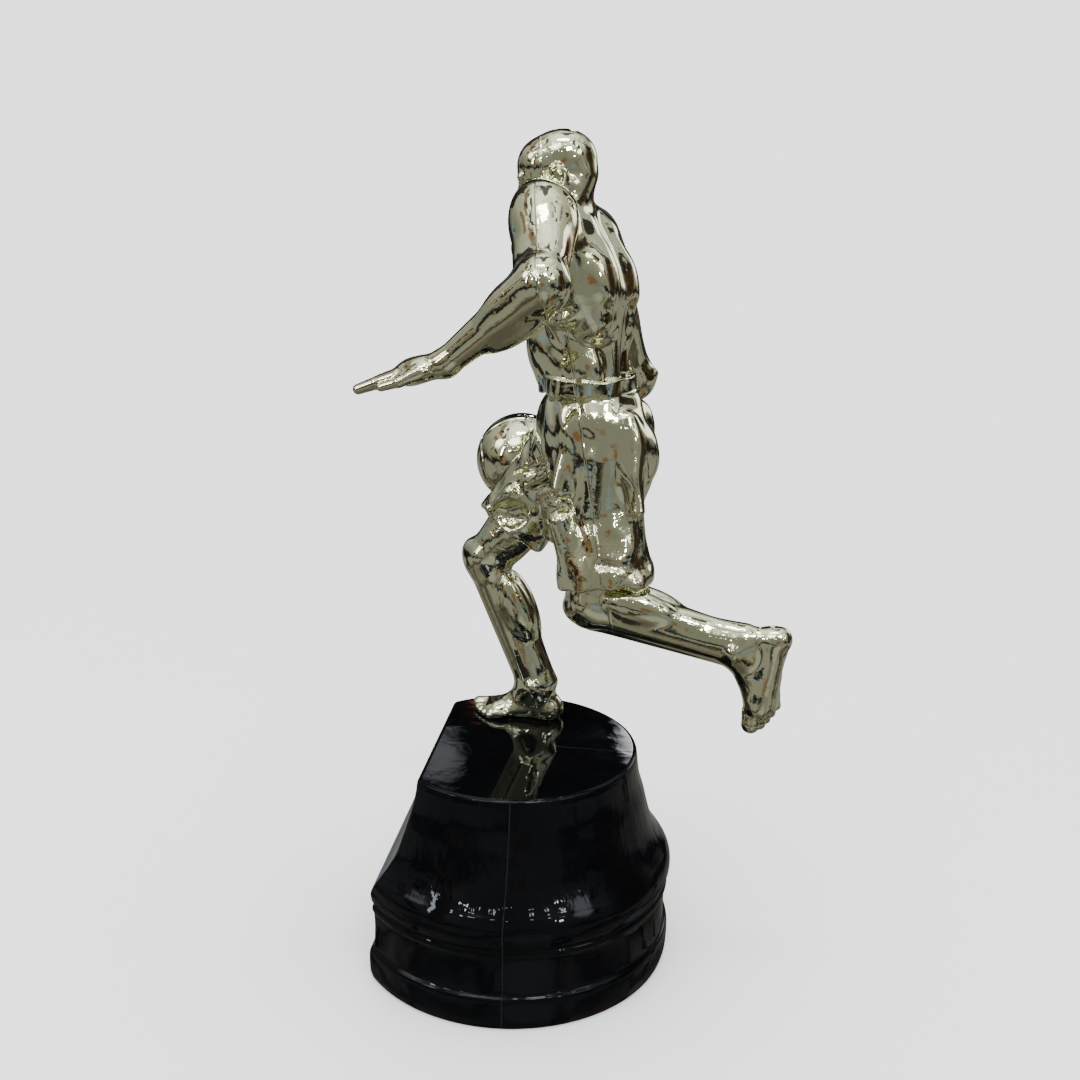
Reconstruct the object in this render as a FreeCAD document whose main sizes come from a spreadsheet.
import FreeCAD, Part
import math
import os
import Sketcher

# Figure trophy: a metallised plastic basketball player dribbling on a gloss black D-shaped base.
# Units are millimetres. Origin: centre of the base's underside. +Z is up, the front of the base and the
# way the player runs are -Y, and +X is the player's left.

os.makedirs("parts", exist_ok=True)
doc = FreeCAD.newDocument("figure_trophy")
V = FreeCAD.Vector

# ---------------------------------------------------------------- driving dimensions

sheet = doc.addObject("Spreadsheet::Sheet", "Dimensions")
sheet_rows = {}


def dimension(alias, value):
    """Adds one driving dimension to the sheet."""
    row = len(sheet_rows) + 1
    sheet_rows[alias] = row
    sheet.set("A%d" % row, alias)
    sheet.set("B%d" % row, str(value))
    sheet.setAlias("B%d" % row, alias)


def value(alias):
    """A driving dimension's number."""
    return float(sheet.get(alias))


BASE_DIMENSIONS = {
    "pad_thickness": 1.5,          # felt pad under the base
    "pad_proud": 0.5,              # how far the pad stands below the moulded rim
    "pad_radius": 39.6,
    "pad_setback": 9.0,
    "base_height": 59.6,
    "foot_radius": 42.5,
    "foot_bead_radius": 43.2,      # top of the foot ring
    "foot_bead_height": 9.2,
    "foot_bead_curve": 9.0,
    "waist_low_radius": 42.2,
    "waist_low_height": 10.4,
    "waist_high_radius": 42.3,
    "waist_high_height": 22.0,
    "waist_curve": 42.0,
    "shoulder_low_radius": 42.9,
    "shoulder_low_height": 23.2,
    "shoulder_high_radius": 40.2,
    "shoulder_high_height": 33.4,
    "shoulder_curve": 7.4,
    "rim_radius": 32.8,
    "flare_curve": 42.0,
    "setback_foot": 9.2,           # how much nearer the front flat is than the round wall
    "setback_rim": 11.8,
    "shell_wall": 2.4,
    "cavity_low_radius": 39.0,
    "cavity_mid_radius": 36.6,
    "cavity_mid_height": 32.0,
    "cavity_top_radius": 30.0,
    "rim_edge_round": 0.8,
    "stud_radius": 1.5,
    "stud_x": -19.5,
    "stud_y": 5.6,
    "stud_embedded": 9.0,
    "stud_below_top": 9.0,
    "stud_hole_clearance": 0.15,
    "boss_radius": 5.0,
    "boss_depth": 1.6,
    "washer_radius": 3.5,
    "washer_thickness": 0.5,
    "washer_hole_radius": 1.6,
    "nut_corner_radius": 3.18,     # 5.5 mm across flats
    "nut_thickness": 2.4,
    "ballast_radius": 28.0,
    "ballast_height": 14.0,
    "ball_radius": 13.0,
    "ball_x": -38.0,
    "ball_y": -4.4,
    "ball_z": 130.9,
    "parting_y_at_shoulder": 7.0,
    "parting_shoulder_height": 200.0,
    "parting_slope": 0.19,         # how far the parting plane moves back for each millimetre down
}
for alias_name, number in BASE_DIMENSIONS.items():
    dimension(alias_name, number)

# Sections of the player: centre x, y, z, half-width, half-depth and the turn of the width about +Z in
# degrees. The width of a turned section points to the player's left and forwards.
TORSO = [
    ("pelvis", -8.0, 19.5, 138.0, 14.5, 11.5, 4),
    ("waist", -8.0, 15.6, 157.0, 13.0, 9.6, 10),
    ("ribs", -7.6, 13.6, 175.0, 16.0, 12.0, 18),
    ("chest", -7.6, 12.6, 190.0, 19.5, 12.6, 24),
    ("shoulders", -7.6, 12.4, 200.5, 17.0, 8.4, 25),
    ("collar", -7.2, 12.4, 205.5, 7.5, 5.6, 22),
]
TORSO_CAVITY = [
    ("pelvis_inner", -8.0, 19.5, 141.0, 11.0, 8.5, 4),
    ("waist_inner", -8.0, 15.6, 157.0, 10.4, 7.0, 10),
    ("ribs_inner", -7.6, 13.6, 175.0, 13.0, 9.4, 18),
    ("chest_inner", -7.6, 12.6, 190.0, 15.0, 9.4, 24),
    ("shoulders_inner", -7.6, 12.4, 197.5, 11.0, 5.2, 25),
]
NECK = [
    ("neck_low", -7.2, 13.0, 201.0, 7.0, 6.0, 0),
    ("neck_mid", -7.0, 11.0, 206.0, 5.4, 5.2, 0),
    ("neck_top", -7.0, 9.0, 211.0, 5.0, 4.8, 0),
]
LEFT_UPPER_ARM = [
    ("left_shoulder", 6.0, 9.0, 201.5, 6.0, 5.8, 0),
    ("left_deltoid", 14.0, 8.0, 200.8, 7.8, 7.6, 0),
    ("left_upper_arm", 24.0, 8.8, 194.6, 6.4, 6.2, 0),
    ("left_elbow", 33.6, 10.0, 187.4, 5.2, 5.0, 0),
    ("left_elbow_end", 37.4, 10.6, 184.6, 3.0, 2.8, 0),
]
LEFT_FOREARM = [
    ("left_elbow_tip", 34.4, 13.0, 187.4, 3.4, 3.2, 0),
    ("left_forearm", 33.8, 5.5, 182.0, 5.2, 4.7, 0),
    ("left_mid_forearm", 32.6, -3.0, 175.6, 4.5, 3.9, 0),
    ("left_wrist", 30.2, -12.7, 168.6, 3.0, 2.4, 0),
    ("left_palm", 29.2, -20.5, 165.2, 4.4, 2.0, 0),
    ("left_fingers", 29.0, -28.5, 162.0, 3.9, 1.5, 0),
    ("left_fingertips", 29.0, -33.4, 160.3, 2.6, 0.9, 0),
]
RIGHT_ARM = [
    ("right_shoulder", -22.0, 16.0, 199.0, 5.6, 5.4, 0),
    ("right_deltoid", -28.5, 18.6, 194.0, 7.4, 7.0, 0),
    ("right_upper_arm", -34.2, 22.0, 179.0, 6.0, 5.8, 0),
    ("right_elbow", -42.6, 26.6, 156.4, 4.9, 4.7, 0),
    ("right_forearm", -45.6, 18.2, 147.6, 4.7, 4.5, 0),
    ("right_wrist", -48.8, 9.6, 140.6, 3.2, 3.0, 0),
    ("right_palm", -51.0, 1.6, 136.6, 3.5, 3.3, 0),
    ("right_fingertips", -51.6, -7.6, 132.6, 2.5, 2.3, 0),
]
LEFT_LEG = [
    ("left_hip", 0.5, 21.5, 141.0, 10.0, 9.8, 0),
    ("left_thigh", 3.6, 21.6, 124.0, 8.8, 8.6, 0),
    ("left_knee", 6.0, 20.8, 104.8, 6.6, 6.4, 0),
    ("left_calf", 7.0, 36.0, 99.4, 6.4, 6.0, 0),
    ("left_shin", 7.6, 48.0, 96.8, 4.5, 4.2, 0),
    ("left_ankle", 8.0, 58.5, 94.8, 3.5, 3.2, 0),
    ("left_ankle_end", 8.0, 65.0, 94.4, 2.8, 2.6, 0),
]
LEFT_FOOT = [
    ("left_heel_end", 8.0, 66.4, 101.4, 2.8, 2.2, 0),
    ("left_heel", 8.0, 66.6, 97.0, 3.9, 3.8, 0),
    ("left_instep", 8.0, 65.2, 89.0, 3.8, 3.4, 0),
    ("left_ball", 8.0, 64.6, 80.0, 4.8, 2.4, 0),
    ("left_toes", 8.0, 64.6, 74.8, 4.4, 1.8, 0),
    ("left_toe_end", 8.0, 65.0, 72.4, 3.0, 1.1, 0),
]
RIGHT_LEG = [
    ("right_hip", -16.5, 17.0, 139.0, 10.0, 9.8, 0),
    ("right_thigh", -18.6, 4.0, 123.0, 8.8, 8.6, 0),
    ("right_knee", -20.0, -8.6, 105.6, 6.8, 6.6, 0),
    ("right_calf", -20.0, -2.2, 89.0, 6.2, 6.0, 0),
    ("right_shin", -19.8, 2.6, 77.0, 4.2, 4.0, 0),
    ("right_ankle", -19.5, 5.8, 67.0, 3.6, 3.4, 0),
    ("right_ankle_end", -19.5, 6.6, 61.0, 3.4, 3.3, 0),
]
RIGHT_FOOT = [
    ("right_heel_end", -19.5, 10.6, 62.0, 2.4, 2.2, 0),
    ("right_heel", -19.5, 7.4, 62.2, 3.9, 3.8, 0),
    ("right_instep", -19.5, -0.5, 62.4, 4.0, 3.8, 0),
    ("right_ball", -19.5, -9.0, 61.0, 4.8, 2.4, 0),
    ("right_toes", -19.5, -13.2, 60.8, 4.4, 1.7, 0),
    ("right_toe_end", -19.5, -15.4, 60.7, 3.0, 1.1, 0),
]
SHORTS_SEAT = [
    ("seat_low", -8.0, 18.5, 131.0, 15.0, 12.0, 4),
    ("seat", -8.0, 19.8, 145.0, 17.0, 13.8, 6),
    ("waistband", -8.0, 16.2, 158.8, 13.9, 10.4, 10),
]
SHORTS_LEFT = [
    ("left_shorts_top", -0.5, 21.0, 144.0, 11.0, 10.8, 0),
    ("left_shorts_mid", 3.2, 21.8, 126.0, 12.0, 11.8, 0),
    ("left_shorts_hem", 5.4, 23.0, 110.0, 12.0, 11.8, 0),
]
SHORTS_RIGHT = [
    ("right_shorts_top", -15.5, 17.5, 141.0, 11.0, 10.8, 0),
    ("right_shorts_mid", -17.6, 8.0, 129.0, 11.6, 11.4, 0),
    ("right_shorts_hem", -19.8, -3.0, 116.4, 11.0, 10.6, 0),
]
HEAD = {
    "skull": (-7.0, 7.4, 211.2, 8.4, 10.8, 9.4),
    "jaw": (-7.0, 2.4, 206.2, 6.2, 6.6, 6.6),
}
ALL_SECTIONS = (TORSO, TORSO_CAVITY, NECK, LEFT_UPPER_ARM, LEFT_FOREARM, RIGHT_ARM,
                LEFT_LEG, LEFT_FOOT, RIGHT_LEG, RIGHT_FOOT, SHORTS_SEAT, SHORTS_LEFT, SHORTS_RIGHT)
for sections in ALL_SECTIONS:
    for station, x, y, z, wide, deep, turn in sections:
        for suffix, number in (("x", x), ("y", y), ("z", z), ("wide", wide), ("deep", deep), ("turn", turn)):
            dimension("%s_%s" % (station, suffix), number)
for lump, numbers in HEAD.items():
    for suffix, number in zip(("x", "y", "z", "wide", "long", "tall"), numbers):
        dimension("%s_%s" % (lump, suffix), number)
doc.recompute()


def bind(obj, prop, expression):
    """Drives a property from the sheet. Words of the expression that are aliases become sheet references."""
    words = expression.replace("(", " ( ").replace(")", " ) ").split()
    obj.setExpression(prop, " ".join("Dimensions." + w if w in sheet_rows else w for w in words))


# ---------------------------------------------------------------- sketch helpers

def origin_plane(body, role):
    """One of a body's own three origin planes."""
    return next(feature for feature in body.Origin.OriginFeatures if feature.Role == role)


def new_sketch(body, name, role):
    """An empty sketch on one of the body's origin planes."""
    sketch = body.newObject("Sketcher::SketchObject", name)
    sketch.AttachmentSupport = (origin_plane(body, role), [""])
    sketch.MapMode = "FlatFace"
    return sketch


def number_of(expression):
    """The value of a sheet expression."""
    names = {alias: value(alias) for alias in sheet_rows}
    total = 0.0
    sign = 1.0
    for word in expression.split():
        if word == "+":
            sign = 1.0
        elif word == "-":
            sign = -1.0
        else:
            total += sign * (names[word] if word in names else float(word))
            sign = 1.0
    return total


def arc_between(start, end, radius, hollow):
    """A minor arc from start to end. A hollow one bows to the left of the way from start to end."""
    chord = end - start
    middle = (start + end) * 0.5
    left = V(-chord.y, chord.x, 0) / chord.Length
    reach = math.sqrt(radius ** 2 - (chord.Length / 2) ** 2)
    centre = middle - left * reach if hollow else middle + left * reach
    first, last = (end, start) if hollow else (start, end)
    circle = Part.Circle(centre, V(0, 0, 1), radius)
    begin = math.atan2(first.y - centre.y, first.x - centre.x)
    finish = math.atan2(last.y - centre.y, last.x - centre.x)
    return Part.ArcOfCircle(circle, begin, finish)


def closed_outline(sketch, corners):
    """Draws a closed outline through the corners, each of them (across, up, curve to the next corner).

    Across and up are sheet expressions. The curve is None for a straight edge, or (radius, "hollow") or
    (radius, "bulge") for an arc. Every corner and radius is constrained to the sheet.
    """
    points = [V(number_of(across), number_of(up), 0) for across, up, _ in corners]
    joints = []
    for index, (_, _, curve) in enumerate(corners):
        start = points[index]
        end = points[(index + 1) % len(points)]
        if curve is None:
            edge = sketch.addGeometry(Part.LineSegment(start, end), False)
            joints.append((edge, 1, 2))
        else:
            alias, kind = curve
            hollow = kind == "hollow"
            edge = sketch.addGeometry(arc_between(start, end, value(alias), hollow), False)
            joints.append((edge, 2, 1) if hollow else (edge, 1, 2))
            radius = sketch.addConstraint(Sketcher.Constraint("Radius", edge, value(alias)))
            bind(sketch, "Constraints[%d]" % radius, alias)
    for index, (edge, _, tail) in enumerate(joints):
        following, head, _ = joints[(index + 1) % len(joints)]
        sketch.addConstraint(Sketcher.Constraint("Coincident", edge, tail, following, head))
    for index, (across, up, _) in enumerate(corners):
        edge, head, _ = joints[index]
        for kind, expression in (("DistanceX", across), ("DistanceY", up)):
            constraint = Sketcher.Constraint(kind, -1, 1, edge, head, number_of(expression))
            place = sketch.addConstraint(constraint)
            if any(word in sheet_rows for word in expression.split()):
                bind(sketch, "Constraints[%d]" % place, expression)


def revolved_body(name, label, corners):
    """A body turned about +Z from an outline in the XZ plane."""
    body = doc.addObject("PartDesign::Body", name)
    body.Label = label
    sketch = new_sketch(body, name + "_outline", "XZ_Plane")
    closed_outline(sketch, corners)
    doc.recompute()
    turned = body.newObject("PartDesign::Revolution", name + "_turned")
    turned.Profile = sketch
    turned.ReferenceAxis = (sketch, ["V_Axis"])
    turned.Angle = 360
    sketch.Visibility = False
    doc.recompute()
    return body


def pocket_through(body, name, role, corners):
    """Cuts an outline through the body, both ways from an origin plane."""
    sketch = new_sketch(body, name + "_outline", role)
    closed_outline(sketch, corners)
    doc.recompute()
    pocket = body.newObject("PartDesign::Pocket", name)
    pocket.Profile = sketch
    pocket.Type = 1
    pocket.Midplane = True
    sketch.Visibility = False
    doc.recompute()
    return pocket


# ---------------------------------------------------------------- base shell

BASE_WALL = [
    ("foot_radius", "pad_proud", ("foot_bead_curve", "bulge"), "setback_foot"),
    ("foot_bead_radius", "foot_bead_height", None, "setback_foot"),
    ("waist_low_radius", "waist_low_height", ("waist_curve", "hollow"), "setback_foot"),
    ("waist_high_radius", "waist_high_height", None, "setback_foot"),
    ("shoulder_low_radius", "shoulder_low_height", ("shoulder_curve", "bulge"), "setback_foot"),
    ("shoulder_high_radius", "shoulder_high_height", ("flare_curve", "hollow"), "setback_rim"),
    ("rim_radius", "base_height", None, "setback_rim"),
]
outer = revolved_body("ShellOuter", "base outer form",
                      [("0", "pad_proud", None)] + [corner[:3] for corner in BASE_WALL]
                      + [("0", "base_height", None)])
full_round = outer.Shape.Volume

# The front is flat across its width and carries the same mouldings as the round wall.
BEYOND = "60"
front_waste = [("- " + BEYOND, "pad_proud", None)]
for radius_alias, height_alias, curve, setback in BASE_WALL:
    mirrored = None
    if curve is not None:
        mirrored = (curve[0], "bulge" if curve[1] == "hollow" else "hollow")
    front_waste.append(("- %s + %s" % (radius_alias, setback), height_alias, mirrored))
front_waste.append(("- " + BEYOND, "base_height", None))
pocket_through(outer, "FrontFlat", "YZ_Plane", front_waste)
assert outer.Shape.Volume < full_round * 0.97

cavity = revolved_body("ShellCavity", "base cavity", [
    ("0", "pad_proud", None),
    ("cavity_low_radius", "pad_proud", None),
    ("cavity_low_radius", "shoulder_low_height", None),
    ("cavity_mid_radius", "cavity_mid_height", None),
    ("cavity_top_radius", "base_height - shell_wall", None),
    ("0", "base_height - shell_wall", None),
])
pocket_through(cavity, "CavityFlat", "YZ_Plane", [
    ("- " + BEYOND, "pad_proud", None),
    ("- cavity_low_radius + setback_foot", "pad_proud", None),
    ("- cavity_low_radius + setback_foot", "shoulder_low_height", None),
    ("- cavity_mid_radius + setback_rim", "cavity_mid_height", None),
    ("- cavity_top_radius + setback_rim", "base_height - shell_wall", None),
    ("- " + BEYOND, "base_height - shell_wall", None),
])


def cylinder(name, radius, height, x, y, z):
    """An upright cylinder whose sizes and place are sheet expressions."""
    solid = doc.addObject("Part::Cylinder", name)
    bind(solid, "Radius", radius)
    bind(solid, "Height", height)
    bind(solid, "Placement.Base.x", x)
    bind(solid, "Placement.Base.y", y)
    bind(solid, "Placement.Base.z", z)
    return solid


def fused(name, *pieces):
    """A union of several objects."""
    union = doc.addObject("Part::MultiFuse", name)
    union.Shapes = list(pieces)
    union.Refine = False
    return union


def cut(name, base, tool):
    """One object less another."""
    difference = doc.addObject("Part::Cut", name)
    difference.Base = base
    difference.Tool = tool
    difference.Refine = False
    return difference


def common(name, base, tool):
    """What two objects share."""
    shared = doc.addObject("Part::Common", name)
    shared.Base = base
    shared.Tool = tool
    shared.Refine = False
    return shared


pad_body = doc.addObject("PartDesign::Body", "FeltPad")
pad_body.Label = "felt_pad"
pad_sketch = new_sketch(pad_body, "FeltPad_outline", "XY_Plane")
pad_radius = value("pad_radius")
pad_flat = pad_radius - value("pad_setback")
pad_angle = math.acos(pad_flat / pad_radius)
pad_circle = Part.Circle(V(0, 0, 0), V(0, 0, 1), pad_radius)
pad_start = -math.pi / 2 + pad_angle
pad_end = 3 * math.pi / 2 - pad_angle
pad_arc = pad_sketch.addGeometry(Part.ArcOfCircle(pad_circle, pad_start, pad_end), False)
pad_tips = [V(pad_radius * math.cos(a), pad_radius * math.sin(a), 0) for a in (pad_end, pad_start)]
pad_chord = pad_sketch.addGeometry(Part.LineSegment(*pad_tips), False)
pad_sketch.addConstraint(Sketcher.Constraint("Coincident", pad_arc, 2, pad_chord, 1))
pad_sketch.addConstraint(Sketcher.Constraint("Coincident", pad_chord, 2, pad_arc, 1))
pad_sketch.addConstraint(Sketcher.Constraint("Coincident", pad_arc, 3, -1, 1))
pad_sketch.addConstraint(Sketcher.Constraint("Horizontal", pad_chord))
radius_rule = pad_sketch.addConstraint(Sketcher.Constraint("Radius", pad_arc, pad_radius))
bind(pad_sketch, "Constraints[%d]" % radius_rule, "pad_radius")
chord_rule = pad_sketch.addConstraint(Sketcher.Constraint("DistanceY", -1, 1, pad_chord, 1, -pad_flat))
bind(pad_sketch, "Constraints[%d]" % chord_rule, "- pad_radius + pad_setback")
doc.recompute()
pad_extruded = pad_body.newObject("PartDesign::Pad", "FeltPad_thickness")
pad_extruded.Profile = pad_sketch
bind(pad_extruded, "Length", "pad_thickness")
doc.recompute()

boss = cylinder("StudBoss", "boss_radius", "boss_depth + shell_wall / 2", "stud_x", "stud_y",
                "base_height - shell_wall - boss_depth")
stud_hole = cylinder("StudHole", "stud_radius + stud_hole_clearance", "base_height", "stud_x", "stud_y",
                     "shoulder_low_height")
shell_hollow = cut("ShellHollow", outer, cavity)
shell_bossed = fused("ShellBossed", shell_hollow, boss)
shell_drilled = cut("ShellDrilled", shell_bossed, stud_hole)
base_shell = cut("BaseShell", shell_drilled, pad_body)
doc.recompute()

# ---------------------------------------------------------------- fixings inside the base

nut_top = "base_height - shell_wall - boss_depth - washer_thickness"
stud = cylinder("FootStud", "stud_radius", "stud_embedded + stud_below_top", "stud_x", "stud_y",
                "base_height - stud_below_top")
washer_disc = cylinder("WasherDisc", "washer_radius", "washer_thickness", "stud_x", "stud_y", nut_top)
washer_hole = cylinder("WasherHole", "washer_hole_radius", "washer_thickness", "stud_x", "stud_y", nut_top)
washer = cut("Washer", washer_disc, washer_hole)
nut_prism = doc.addObject("Part::Prism", "NutPrism")
nut_prism.Polygon = 6
bind(nut_prism, "Circumradius", "nut_corner_radius")
bind(nut_prism, "Height", "nut_thickness")
bind(nut_prism, "Placement.Base.x", "stud_x")
bind(nut_prism, "Placement.Base.y", "stud_y")
bind(nut_prism, "Placement.Base.z", nut_top + " - nut_thickness")
nut_hole = cylinder("NutHole", "stud_radius", "nut_thickness", "stud_x", "stud_y", nut_top + " - nut_thickness")
nut = cut("HexNut", nut_prism, nut_hole)
ballast = cylinder("BallastDisc", "ballast_radius", "ballast_height", "0", "0", "pad_thickness")
doc.recompute()

# ---------------------------------------------------------------- the player


def lofted(name, sections):
    """A smooth solid through the elliptical sections of one limb, each square to the limb's run."""
    centres = [V(*section[1:4]) for section in sections]
    wires = []
    for index, (station, _, _, _, _, _, turn) in enumerate(sections):
        run = centres[min(index + 1, len(centres) - 1)] - centres[max(index - 1, 0)]
        run.normalize()
        across = V(math.cos(math.radians(turn)), -math.sin(math.radians(turn)), 0)
        ellipse = doc.addObject("Part::Ellipse", "Section_" + station)
        ellipse.Placement = FreeCAD.Placement(centres[index], FreeCAD.Rotation(across, V(), run, "ZXY"))
        bind(ellipse, "MajorRadius", station + "_wide")
        bind(ellipse, "MinorRadius", station + "_deep")
        for axis in "xyz":
            bind(ellipse, "Placement.Base." + axis, "%s_%s" % (station, axis))
        wires.append(ellipse)
    loft = doc.addObject("Part::Loft", name)
    loft.Sections = wires
    loft.Solid = True
    loft.Ruled = False
    doc.recompute()
    return loft


def ellipsoid(name, lump):
    """An ellipsoid of the head: its own X, Y and Z half-sizes and centre come from the sheet."""
    solid = doc.addObject("Part::Ellipsoid", name)
    bind(solid, "Radius1", lump + "_tall")
    bind(solid, "Radius2", lump + "_wide")
    bind(solid, "Radius3", lump + "_long")
    for axis in "xyz":
        bind(solid, "Placement.Base." + axis, "%s_%s" % (lump, axis))
    return solid


torso = lofted("Torso", TORSO)
neck = lofted("Neck", NECK)
left_upper_arm = lofted("LeftUpperArm", LEFT_UPPER_ARM)
left_forearm = lofted("LeftForearm", LEFT_FOREARM)
right_arm = lofted("RightArm", RIGHT_ARM)
left_leg = lofted("LeftLeg", LEFT_LEG)
left_foot = lofted("LeftFoot", LEFT_FOOT)
right_leg = lofted("RightLeg", RIGHT_LEG)
right_foot = lofted("RightFoot", RIGHT_FOOT)
shorts_seat = lofted("ShortsSeat", SHORTS_SEAT)
shorts_left = lofted("ShortsLeft", SHORTS_LEFT)
shorts_right = lofted("ShortsRight", SHORTS_RIGHT)
skull = ellipsoid("Skull", "skull")
jaw = ellipsoid("Jaw", "jaw")
torso_cavity = lofted("TorsoCavity", TORSO_CAVITY)
ball = doc.addObject("Part::Sphere", "Basketball")
bind(ball, "Radius", "ball_radius")
for axis in "xyz":
    bind(ball, "Placement.Base." + axis, "ball_" + axis)
doc.recompute()

body_solid = fused("BodySolid", torso, neck, skull, jaw, left_upper_arm, left_forearm,
                   shorts_seat, shorts_left, shorts_right, left_leg, left_foot, right_leg, right_foot)
doc.recompute()

# Everything below the top of the base and inside the stud's bore is taken off the player.
ground = doc.addObject("Part::Box", "Ground")
ground.Length = 200
ground.Width = 200
bind(ground, "Height", "base_height")
ground.Placement.Base = V(-100, -100, 0)
ground_and_ball = fused("NotPlayer", ground, ball, stud)
body_clear = cut("BodyClear", body_solid, ground_and_ball)
arm_solid = cut("ArmSolid", right_arm, torso_cavity)
arm_clear = cut("ArmClear", arm_solid, ball)
doc.recompute()

# The player is moulded in a front and a rear half. The right arm belongs to the rear one.
parting_tilt = math.degrees(math.atan(value("parting_slope")))
front_space = doc.addObject("Part::Box", "FrontSpace")
front_space.Length = 300
front_space.Width = 150
front_space.Height = 400
parting_rotation = FreeCAD.Rotation(V(1, 0, 0), parting_tilt)
parting_point = V(0, value("parting_y_at_shoulder"), value("parting_shoulder_height"))
front_space.Placement = FreeCAD.Placement(parting_point - parting_rotation.multVec(V(150, 150, 200)),
                                          parting_rotation)
body_front = common("BodyFront", body_clear, front_space)
front_hollow = cut("FrontHollow", body_front, torso_cavity)
figure_front = cut("FigureFront", front_hollow, arm_clear)
body_rear = cut("BodyRear", body_clear, front_space)
rear_hollow = cut("RearHollow", body_rear, torso_cavity)
figure_rear = fused("FigureRear", rear_hollow, arm_clear)
doc.recompute()

# ---------------------------------------------------------------- export

NODES = {
    "figure_front_half": figure_front,
    "figure_rear_half": figure_rear,
    "basketball": ball,
    "base_shell": base_shell,
    "foot_stud": stud,
    "washer": washer,
    "hex_nut": nut,
    "ballast_disc": ballast,
    "felt_pad": pad_body,
}
for node, obj in NODES.items():
    obj.Label = node
doc.recompute()
for obj in doc.Objects:
    assert "Invalid" not in obj.State and "Error" not in obj.State, (obj.Name, obj.State)
for node, obj in NODES.items():
    shape = obj.Shape
    assert not shape.isNull() and shape.isValid(), node
    box = shape.BoundBox
    print("%-18s %d solid(s) %9.1f mm3  x %.1f..%.1f y %.1f..%.1f z %.1f..%.1f" % (
        node, len(shape.Solids), shape.Volume, box.XMin, box.XMax, box.YMin, box.YMax, box.ZMin, box.ZMax))
    shape.exportStep("parts/%s.step" % node)
